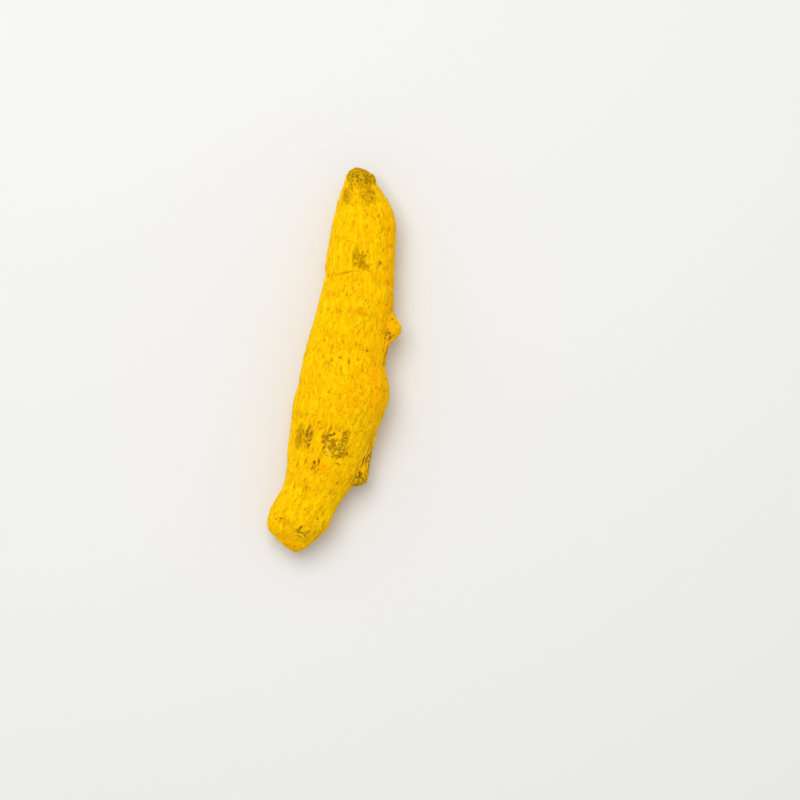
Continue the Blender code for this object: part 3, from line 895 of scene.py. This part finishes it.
POWDER = Pattern(
    "Powder",
    (GRAIN, ("Size", "Float"), ("Height", "Float")),
    (("Tone", "Float"), ("Height", "Float")),
    powder_formula,
)


def flecks_on(recipe, grain, flecks):
    """Flecks of one size, more of them along the rings."""
    size, stretch, level = flecks
    gather = recipe.math("MULTIPLY", recipe.attribute("ring"), RING_GATHER)
    values = {"Grain": grain, "Size": size, "Stretch": stretch, "Level": level, "Gather": gather}
    return recipe.group(FLECKS, values)[0]


def torn(recipe, name, grain, tear):
    """One of the mesh's masks, torn by noise of a size, a raggedness and a softness."""
    size, raggedness, softness = tear
    values = {"Mask": recipe.attribute(name), "Grain": grain}
    values |= {"Size": size, "Raggedness": raggedness, "Softness": softness}
    return recipe.group(RAGGED, values)[0]


def mottled(recipe, grain, size, stretch, under, over):
    """Two colours in soft clouds."""
    values = {"Grain": grain, "Size": size, "Stretch": stretch, "Under": under, "Over": over}
    return recipe.group(MOTTLE, values)[0]


def geometry_tree(name, inputs):
    """A Geometry Nodes tree with named inputs, its recipe and its end sockets."""
    tree = bpy.data.node_groups.new(name, "GeometryNodeTree")
    for input_name, shape in inputs:
        tree.interface.new_socket(input_name, in_out="INPUT", socket_type="NodeSocket" + shape)
    tree.interface.new_socket("Geometry", in_out="OUTPUT", socket_type="NodeSocketGeometry")
    inlet = tree.nodes.new("NodeGroupInput")
    outlet = tree.nodes.new("NodeGroupOutput")
    return tree, Recipe(tree), inlet.outputs, outlet.inputs


def above_the_surface(recipe, geometry):
    """Keeps every point from going under the surface that the root lies on."""
    x, y, z = recipe.separate(recipe.add("GeometryNodeInputPosition", {}).outputs[0])
    position = recipe.combine(x, y, recipe.math("MAXIMUM", z, 0.0))
    return recipe.add("GeometryNodeSetPosition", {"Geometry": geometry, "Position": position}).outputs[0]


def rind_tree():
    """Presses the flecks and fine wrinkles into the skin, and raises the crumbs and the dust."""
    tree, recipe, given, end = geometry_tree(
        "Rind relief",
        (
            ("Skin", "Geometry"),
            ("Fleck Depth", "Float"),
            ("Wrinkle Height", "Float"),
            ("Side Wrinkle Height", "Float"),
            ("Olive Depth", "Float"),
            ("Powder Height", "Float"),
            ("Crumb Height", "Float"),
            ("Cap Fold Height", "Float"),
            ("Material", "Material"),
        ),
    )
    grain = recipe.attribute("grain", vector=True)
    flecks = flecks_on(recipe, grain, COARSE_FLECKS)
    furrow = recipe.group(FURROWS, FURROW_VALUES | {"Grain": grain})[0]
    dust = recipe.group(POWDER, {"Grain": grain, "Size": 0.7 * MM, "Height": given["Powder Height"]})[1]
    rough = torn(recipe, "crumbs", grain, CRUMB_TEAR)
    crumb = recipe.group(CRUMBS, {"Grain": grain, "Size": CRUMB_SIZE})[0]
    down = recipe.math("MULTIPLY", flecks, given["Fleck Depth"])
    bare = recipe.math("MULTIPLY", torn(recipe, "olive", grain, OLIVE_TEAR), given["Olive Depth"])
    down = recipe.math("ADD", down, bare)
    down = recipe.math("ADD", down, recipe.math("MULTIPLY", furrow, given["Wrinkle Height"]))
    side_wrinkle = recipe.math("MULTIPLY", recipe.attribute("side"), given["Side Wrinkle Height"])
    side_furrow = recipe.math("SUBTRACT", furrow, MEAN_FURROW)
    down = recipe.math("ADD", down, recipe.math("MULTIPLY", side_furrow, side_wrinkle))
    up = recipe.math("SUBTRACT", crumb, 0.5)
    up = recipe.math("MULTIPLY", recipe.math("MULTIPLY", up, rough), given["Crumb Height"])
    fold = recipe.group(FURROWS, CAP_FOLD_VALUES | {"Grain": grain})[0]
    fold = recipe.math("MULTIPLY", fold, recipe.attribute("cap"))
    up = recipe.math("ADD", up, recipe.math("MULTIPLY", fold, given["Cap Fold Height"]))
    height = recipe.math("SUBTRACT", recipe.math("ADD", up, dust), down)
    normal = recipe.add("GeometryNodeInputNormal", {}).outputs[0]
    offset = recipe.vector("MULTIPLY", normal, recipe.combine(height, height, height))
    moved = recipe.add("GeometryNodeSetPosition", {"Geometry": given["Skin"], "Offset": offset}).outputs[0]
    moved = above_the_surface(recipe, moved)
    real = recipe.add("GeometryNodeRealizeInstances", {"Geometry": moved}).outputs[0]
    done = recipe.add("GeometryNodeSetMaterial", {"Geometry": real, "Material": given["Material"]})
    recipe.plug(end["Geometry"], done.outputs[0])
    return tree


def scatter_tree():
    """Strews small pieces on the skin where a mask is strong, half sunk in it."""
    tree, recipe, given, end = geometry_tree(
        "Strewn on the skin",
        (
            ("Skin", "Geometry"),
            ("Mask", "String"),
            ("Least Mask", "Float"),
            ("Pieces In A Square Metre", "Float"),
            ("Smallest", "Vector"),
            ("Largest", "Vector"),
            ("Facing Along", "Float"),
            ("Roundness", "Int"),
            ("Sink", "Float"),
            ("Seed", "Int"),
            ("Material", "Material"),
        ),
    )
    mask = recipe.attribute(given["Mask"])
    density = recipe.math("MULTIPLY", recipe.math("GREATER_THAN", mask, given["Least Mask"]), mask)
    density = recipe.math("MULTIPLY", density, given["Pieces In A Square Metre"])
    values = {"Mesh": given["Skin"], "Density": density, "Seed": given["Seed"]}
    points = recipe.add("GeometryNodeDistributePointsOnFaces", values, distribute_method="RANDOM")
    along = recipe.add(
        "FunctionNodeAlignRotationToVector",
        {"Rotation": points.outputs["Rotation"], "Factor": given["Facing Along"], "Vector": (0, 1, 0)},
        axis="Y",
        pivot_axis="Z",
    )
    size = recipe.add(
        "FunctionNodeRandomValue",
        {0: given["Smallest"], 1: given["Largest"], "Seed": given["Seed"]},
        data_type="FLOAT_VECTOR",
    )
    ball = recipe.add("GeometryNodeMeshIcoSphere", {"Radius": 1.0, "Subdivisions": given["Roundness"]})
    sunk = recipe.combine(0.0, 0.0, recipe.math("MULTIPLY", given["Sink"], -1.0))
    piece = recipe.add("GeometryNodeTransform", {"Geometry": ball.outputs[0], "Translation": sunk})
    strewn = recipe.add(
        "GeometryNodeInstanceOnPoints",
        {
            "Points": points.outputs["Points"],
            "Instance": piece.outputs[0],
            "Rotation": along.outputs[0],
            "Scale": size.outputs[0],
        },
    )
    real = recipe.add("GeometryNodeRealizeInstances", {"Geometry": strewn.outputs[0]}).outputs[0]
    place = recipe.add("GeometryNodeInputPosition", {}).outputs[0]
    shake = recipe.noise(recipe.stretched(place, 0.12 * MM)).outputs["Color"]
    shake = recipe.vector("SUBTRACT", shake, (0.5, 0.5, 0.5))
    shake = recipe.vector("MULTIPLY", shake, (0.12 * MM, 0.12 * MM, 0.12 * MM))
    real = recipe.add("GeometryNodeSetPosition", {"Geometry": real, "Offset": shake}).outputs[0]
    real = above_the_surface(recipe, real)
    done = recipe.add("GeometryNodeSetMaterial", {"Geometry": real, "Material": given["Material"]})
    recipe.plug(end["Geometry"], done.outputs[0])
    return tree


def shaped_by(tree, mesh, name, values):
    """A plain mesh object: what the tree makes of a mesh, with its inputs by name."""
    piece = bpy.data.objects.new(name, mesh)
    bpy.context.scene.collection.objects.link(piece)
    modifier = piece.modifiers.new(tree.name, "NODES")
    modifier.node_group = tree
    for socket in tree.interface.items_tree:
        if socket.in_out == "INPUT" and socket.name in values:
            modifier[socket.identifier] = values[socket.name]
    depsgraph = bpy.context.evaluated_depsgraph_get()
    shaped = bpy.data.meshes.new_from_object(
        piece.evaluated_get(depsgraph), preserve_all_data_layers=True, depsgraph=depsgraph
    )
    shaped.name = name
    piece.modifiers.clear()
    piece.data = shaped
    return piece


def new_material(name, roughness):
    """A material with its Principled BSDF. What is the same all over the surface is set here."""
    material = bpy.data.materials.new(name)
    material.use_nodes = True
    shader = material.node_tree.nodes["Principled BSDF"]
    shader.inputs["Metallic"].default_value = 0.0
    shader.inputs["Roughness"].default_value = roughness
    shader.inputs["Diffuse Roughness"].default_value = 0.5
    shader.inputs["Specular IOR Level"].default_value = 0.05
    shader.inputs["Specular Tint"].default_value = linear(GOLD)
    return material, Recipe(material.node_tree), shader.inputs


def bumped(recipe, height, sockets):
    """The relief that is too fine for the mesh."""
    bump = recipe.add("ShaderNodeBump", {"Height": height, "Strength": 1.0, "Distance": 1.0})
    recipe.plug(sockets["Normal"], bump.outputs[0])


def gold_skin(recipe, grain):
    """Clouds from lemon to orange gold, under a fine pale net that is painted highlight on fine ridges, with orange
    painted shade along the furrows of the fine wrinkles.
    """
    clouds = mottled(recipe, grain, 6.0 * MM, 1.8, linear(GOLD), linear(DEEP_GOLD))
    streaks = mottled(recipe, grain, STREAK_SIZE, STREAK_STRETCH, linear(LEMON), linear(AMBER))
    colour = recipe.blend(0.55, clouds, streaks)
    # The orange mask is partly painted shade along the side towards +X.
    orange = torn(recipe, "orange", grain, ORANGE_TEAR)
    colour = recipe.blend(recipe.math("MULTIPLY", orange, 0.7), colour, linear(ORANGE))
    # Painted highlight: thin pale lines that stand for light catching the fine ridges of the skin.
    net = recipe.group(FURROWS, {"Grain": grain, "Width": 0.7 * MM, "Stretch": 1.8, "Thinness": 0.05})[0]
    colour = recipe.blend(recipe.math("MULTIPLY", net, 0.35), colour, linear(PALE_GOLD))
    # Painted shade: the skin turns orange along the furrows that the rind relief presses in.
    furrow = recipe.group(FURROWS, FURROW_VALUES | {"Grain": grain})[0]
    return recipe.blend(recipe.math("MULTIPLY", furrow, 0.35), colour, linear(ORANGE))


def scarred_skin(recipe, grain, colour):
    """Old olive skin, partly painted shade where it darkens the stub's blunt end, dry crumbly flesh and the cap, each
    with a torn edge.
    """
    olive_skin_and_shade = mottled(recipe, grain, 0.90 * MM, 1.5, linear(OLIVE), linear(DEEP_OLIVE))
    olive = torn(recipe, "olive", grain, OLIVE_TEAR)
    speck = recipe.group(CRUMBS, {"Grain": grain, "Size": OLIVE_SPECK_SIZE})[1]
    olive_skin_and_shade = recipe.blend(recipe.ramp(speck, 0.55, 1.0, 0.0, 0.7), olive_skin_and_shade, linear(MARK_BROWN_AND_SHADE))
    olive_skin_and_shade = recipe.blend(recipe.ramp(speck, 0.35, 0.0, 0.0, 0.7), olive_skin_and_shade, linear(DEEP_GOLD))
    worn = recipe.noise(recipe.stretched(grain, 0.40 * MM, 1.8), detail=3.0).outputs[0]
    worn = recipe.ramp(worn, 0.40, 0.60, 0.95, 0.50)
    colour = recipe.blend(recipe.math("MULTIPLY", olive, worn), colour, olive_skin_and_shade)
    cap_skin = mottled(recipe, grain, 0.75 * MM, 1.3, linear(CAP_PALE), linear(CAP_BROWN))
    folds = recipe.group(FURROWS, CAP_FOLD_VALUES | {"Grain": grain})[0]
    cap_skin = recipe.blend(recipe.math("MULTIPLY", folds, 0.45), cap_skin, linear(GOLD))
    cap = torn(recipe, "cap", grain, CAP_TEAR)
    colour = recipe.blend(recipe.math("MULTIPLY", cap, 0.95), colour, cap_skin)
    tone = recipe.group(CRUMBS, {"Grain": grain, "Size": CRUMB_SIZE})[1]
    crumb_colour = recipe.blend(recipe.ramp(tone, 0.4, 0.95), linear(CRUMB_SHADE), linear(CRUMB_PALE))
    crumbs = torn(recipe, "crumbs", grain, CRUMB_TEAR)
    return recipe.blend(recipe.math("MULTIPLY", crumbs, 0.75), colour, crumb_colour), olive


def marked_skin(recipe, grain, colour):
    """Olive and red-brown flecks, pale lips and crumbs, and the dark pits. The darkness of flecks, pits and creases is
    partly painted shade in their hollows, and the broad dark spots on the stub's end and on top of the tip are painted
    shade.
    """
    # The flecks' colour is partly the skin's own specks and partly painted shade in the fleck pits.
    coarse = flecks_on(recipe, grain, COARSE_FLECKS)
    fine = flecks_on(recipe, grain, FINE_FLECKS)
    flecks = recipe.math("MAXIMUM", coarse, recipe.math("MULTIPLY", fine, 0.7))
    broad = flecks_on(recipe, grain, BROAD_FLECKS)
    flecks = recipe.math("MAXIMUM", flecks, recipe.math("MULTIPLY", broad, 0.50))
    fleck_colour = mottled(recipe, grain, 2.5 * MM, 1.5, linear(FLECK_OLIVE), linear(FLECK_RED))
    colour = recipe.blend(recipe.math("MULTIPLY", flecks, 0.7), colour, fleck_colour)
    pale = torn(recipe, "pale", grain, PALE_TEAR)
    colour = recipe.blend(recipe.math("MULTIPLY", pale, 0.7), colour, linear(CRUMB_PALE))
    # The dark mask's browns are partly marks and partly painted shade in pits and creases, and wholly painted shade on
    # the stub's blunt end and on top of the tip.
    dark = torn(recipe, "dark", grain, DARK_TEAR)
    colour = recipe.blend(recipe.ramp(dark, 0.02, 0.92), colour, linear(MARK_BROWN_AND_SHADE))
    return recipe.blend(recipe.ramp(dark, 0.62, 1.10, 0.0, 0.85), colour, linear(PIT_BROWN_AND_SHADE)), fine


def rind_material():
    """The skin: gold powder over flecked rind, with olive scars and dark pits."""
    material, recipe, sockets = new_material("turmeric_rind", 0.86)
    grain = recipe.attribute("grain", vector=True)
    colour, olive = scarred_skin(recipe, grain, gold_skin(recipe, grain))
    colour, fine = marked_skin(recipe, grain, colour)
    tone, dust = recipe.group(POWDER, {"Grain": grain, "Size": 0.22 * MM, "Height": 0.02 * MM})
    colour = recipe.blend(recipe.ramp(tone, 0.45, 0.8, 0.0, 0.22), colour, linear(PALE_GOLD))
    recipe.plug(sockets["Base Color"], colour)
    smooth_olive = recipe.math("MULTIPLY", olive, 0.16)
    recipe.plug(sockets["Roughness"], recipe.math("SUBTRACT", 0.9, smooth_olive))
    fine_pits = recipe.math("MULTIPLY", fine, -0.05 * MM)
    streaks = recipe.noise(recipe.stretched(grain, STREAK_SIZE, STREAK_STRETCH), detail=3.0).outputs[0]
    streaks = recipe.math("MULTIPLY", streaks, STREAK_HEIGHT)
    flaky = recipe.group(CRUMBS, {"Grain": grain, "Size": OLIVE_SPECK_SIZE})[0]
    flaky = recipe.math("MULTIPLY", recipe.math("MULTIPLY", flaky, olive), FLAKE_HEIGHT)
    height = recipe.math("ADD", recipe.math("ADD", dust, fine_pits), recipe.math("ADD", streaks, flaky))
    bumped(recipe, height, sockets)
    return material


def crumb_material():
    """Loose dry crumbs of flesh in the scars."""
    material, recipe, sockets = new_material("dry_crumbs", 0.9)
    grain = recipe.attribute("grain", vector=True)
    colour = mottled(recipe, grain, 0.35 * MM, 1.0, linear(CRUMB_PALE), linear(OLIVE))
    place = recipe.add("ShaderNodeTexCoord", {}).outputs["Object"]
    tone, dust = recipe.group(POWDER, {"Grain": place, "Size": 0.10 * MM, "Height": 0.01 * MM})
    colour = recipe.blend(recipe.ramp(tone, 0.4, 0.8, 0.0, 0.5), colour, linear(DEEP_GOLD))
    recipe.plug(sockets["Base Color"], colour)
    bumped(recipe, dust, sockets)
    return material


def sliver_material():
    """Thin pale slivers of old skin along the creases."""
    material, recipe, sockets = new_material("old_skin", 0.8)
    grain = recipe.attribute("grain", vector=True)
    colour = mottled(recipe, grain, 0.50 * MM, 1.0, linear(CRUMB_PALE), linear(ORANGE))
    place = recipe.add("ShaderNodeTexCoord", {}).outputs["Object"]
    dust = recipe.group(POWDER, {"Grain": place, "Size": 0.08 * MM, "Height": 0.01 * MM})[1]
    recipe.plug(sockets["Base Color"], colour)
    bumped(recipe, dust, sockets)
    return material


def build_skin(material):
    values = {
        "Fleck Depth": FLECK_DEPTH,
        "Wrinkle Height": FINE_WRINKLE_HEIGHT,
        "Side Wrinkle Height": SIDE_WRINKLE_HEIGHT,
        "Olive Depth": OLIVE_DEPTH,
        "Powder Height": POWDER_HEIGHT,
        "Crumb Height": CRUMB_HEIGHT,
        "Cap Fold Height": CAP_FOLD_HEIGHT,
        "Material": material,
    }
    skin = shaped_by(rind_tree(), skin_mesh(), "turmeric_skin", values)
    skin.data.shade_smooth()
    return skin


def build_crumbs(tree, skin, material):
    values = {
        "Mask": "crumbs",
        "Least Mask": 0.55,
        "Pieces In A Square Metre": 3.5e6,
        "Smallest": (0.07 * MM, 0.07 * MM, 0.05 * MM),
        "Largest": (0.19 * MM, 0.24 * MM, 0.14 * MM),
        "Facing Along": 0.0,
        "Roundness": 1,
        "Sink": 0.2,
        "Seed": 4,
        "Material": material,
    }
    return shaped_by(tree, skin.data, "scar_crumbs", values)


def build_slivers(tree, skin, material):
    values = {
        "Mask": "pale",
        "Least Mask": 0.55,
        "Pieces In A Square Metre": 3.0e6,
        "Smallest": (0.05 * MM, 0.30 * MM, 0.04 * MM),
        "Largest": (0.09 * MM, 0.75 * MM, 0.07 * MM),
        "Facing Along": 1.0,
        "Roundness": 2,
        "Sink": 0.1,
        "Seed": 9,
        "Material": material,
    }
    return shaped_by(tree, skin.data, "skin_slivers", values)


def floor_material():
    material = bpy.data.materials.new("floor_white")
    material.use_nodes = True
    shader = material.node_tree.nodes["Principled BSDF"]
    shader.inputs["Base Color"].default_value = linear(FLOOR_WHITE)
    shader.inputs["Roughness"].default_value = 0.9
    shader.inputs["Specular IOR Level"].default_value = 0.1
    return material


def build_floor():
    half = 20 * ROOT_LENGTH
    corners = [(-half, -half, 0), (half, -half, 0), (half, half, 0), (-half, half, 0)]
    mesh = bpy.data.meshes.new("floor")
    mesh.from_pydata(corners, [], [(0, 1, 2, 3)])
    mesh.materials.append(floor_material())
    floor = bpy.data.objects.new("floor", mesh)
    bpy.context.scene.collection.objects.link(floor)
    return floor


def add_camera():
    """Looks straight down, with its middle where the middle of the photo's frame was."""
    data = bpy.data.cameras.new("camera")
    data.sensor_width = SENSOR_WIDTH
    data.lens = SENSOR_WIDTH * CAMERA_HEIGHT / VIEW_SIDE
    data.clip_start = 0.01
    camera = bpy.data.objects.new("camera", data)
    camera.location = (*CAMERA_CENTRE, MIDDLE_HEIGHT + CAMERA_HEIGHT)
    camera.rotation_euler = (0, 0, CAMERA_TURN)
    bpy.context.scene.collection.objects.link(camera)
    bpy.context.scene.camera = camera


def add_soft_light(name, place, power, side):
    """A large square lamp that faces the root."""
    data = bpy.data.lights.new(name, "AREA")
    data.energy = power
    data.size = side
    lamp = bpy.data.objects.new(name, data)
    lamp.location = place
    lamp.rotation_euler = (-Vector(place)).to_track_quat("-Z", "Y").to_euler()
    bpy.context.scene.collection.objects.link(lamp)


def add_surround(strength):
    """Even white light from all round."""
    world = bpy.data.worlds.new("surround")
    world.use_nodes = True
    background = world.node_tree.nodes["Background"]
    background.inputs["Color"].default_value = (1, 1, 1, 1)
    background.inputs["Strength"].default_value = strength
    bpy.context.scene.world = world


add_camera()
add_surround(0.62)
add_soft_light("key", (-0.14, 0.20, 0.62), 2.62, 0.42)
bpy.context.scene.view_settings.view_transform = "Standard"

skin = build_skin(rind_material())
strew = scatter_tree()
crumbs = build_crumbs(strew, skin, crumb_material())
slivers = build_slivers(strew, skin, sliver_material())
floor = build_floor()

for piece in (skin, crumbs, slivers):
    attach(piece, "root")
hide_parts(NODE)
